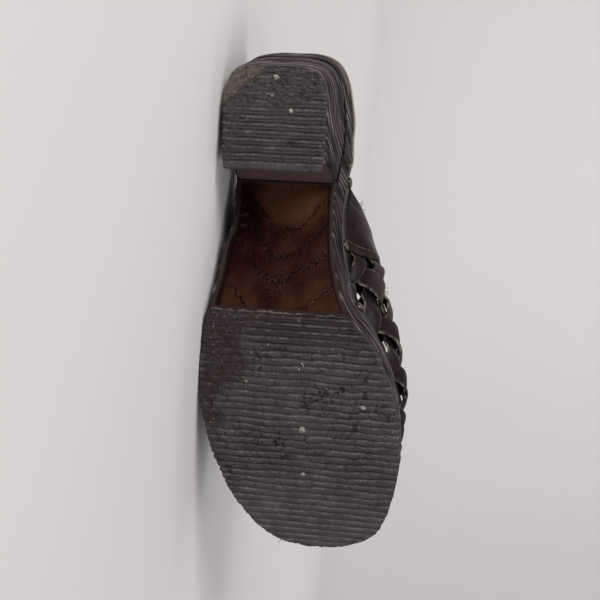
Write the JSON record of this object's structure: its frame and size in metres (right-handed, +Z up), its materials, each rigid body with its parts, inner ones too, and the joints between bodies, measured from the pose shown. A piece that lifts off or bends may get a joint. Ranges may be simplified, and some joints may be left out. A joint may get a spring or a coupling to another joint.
{
  "type": "platform mule",
  "caption": "Left platform mule lying on its outer side: woven leather strap upper on a grained platform with a block heel and ribbed rubber tread",
  "frame": {"origin": "middle of the bounding box, on the floor under the lying shoe", "axes": "+X to the toe, -Y out of the sole, +Z up, which is the inner side of the foot"},
  "size_m": [0.2552, 0.1192, 0.1091],
  "materials": {
    "platform_wall": "dark brown moulded sole, grained wall, satin",
    "heel_wall": "dark brown moulded heel, grained wall, satin",
    "rubber": "dark warm grey rubber, worn, matt",
    "sock": "tan sock leather, matt",
    "strap_leather": "near black brown leather, soft sheen",
    "band_leather": "dark brown leather, soft sheen",
    "tack_metal": "darkened brass"
  },
  "bodies": {
    "root": {"sole_platform": "platform_wall", "heel_block": "heel_wall", "heel_top_lift": "rubber", "forefoot_tread": "rubber", "insole": "sock", "upper": "strap_leather", "collar_band": "band_leather", "rand": "band_leather", "tack_inner_1": "tack_metal", "tack_inner_2": "tack_metal", "tack_inner_3": "tack_metal", "tack_outer_1": "tack_metal", "tack_outer_2": "tack_metal", "tack_outer_3": "tack_metal"}
  },
  "joints": []
}
